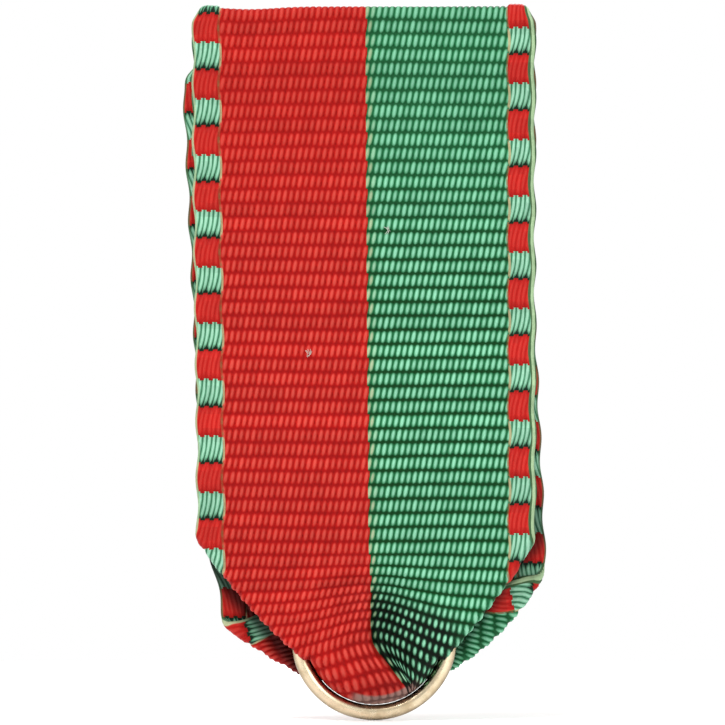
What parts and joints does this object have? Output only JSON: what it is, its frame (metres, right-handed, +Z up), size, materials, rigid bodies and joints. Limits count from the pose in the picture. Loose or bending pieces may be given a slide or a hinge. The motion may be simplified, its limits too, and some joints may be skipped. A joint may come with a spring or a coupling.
{
  "type": "medal ribbon drape with suspension ring",
  "caption": "Folded service medal ribbon with tucked lower corners, a split suspension ring in its throat and a pin brooch behind.",
  "frame": {"origin": "middle of the brooch bar's back face, which lies against the coat", "axes": "+Z up as worn, +X to the right as the front is seen, front of the ribbon faces -Y, the brooch's needle is on the +Y side"},
  "size_m": [0.0172, 0.0042, 0.0334],
  "materials": {
    "woven_ribbon": "ribbed silk-like weave, red and green halves with checked edges",
    "gilt_wire": "polished pale gilt",
    "brooch_brass": "satin, slightly dulled",
    "pin_steel": "bright drawn wire"
  },
  "bodies": {
    "drape": {"ribbon": "woven_ribbon", "brooch_bar": "brooch_brass", "hinge_bracket": "brooch_brass", "hinge_rivet": "pin_steel", "catch_housing": "brooch_brass"},
    "needle": {"pin_needle": "pin_steel"},
    "collar": {"catch_collar": "brooch_brass"},
    "ring": {"suspension_ring": "gilt_wire"}
  },
  "joints": [
    {"name": "needle_swing", "type": "hinge", "parent": "drape", "child": "needle", "pos_m": [0.0039, 0.00105, 0], "axis": [0, 0, -1], "range_deg": [0, 80]},
    {"name": "catch_turn", "type": "hinge", "parent": "drape", "child": "collar", "pos_m": [-0.0044, 0.00105, 0], "axis": [-1, 0, 0], "range_deg": [0, 90]},
    {"name": "ring_spin", "type": "hinge", "parent": "drape", "child": "ring", "pos_m": [0.00047, -0.00112, -0.02505], "axis": [0, 1, 0], "continuous": true}
  ]
}
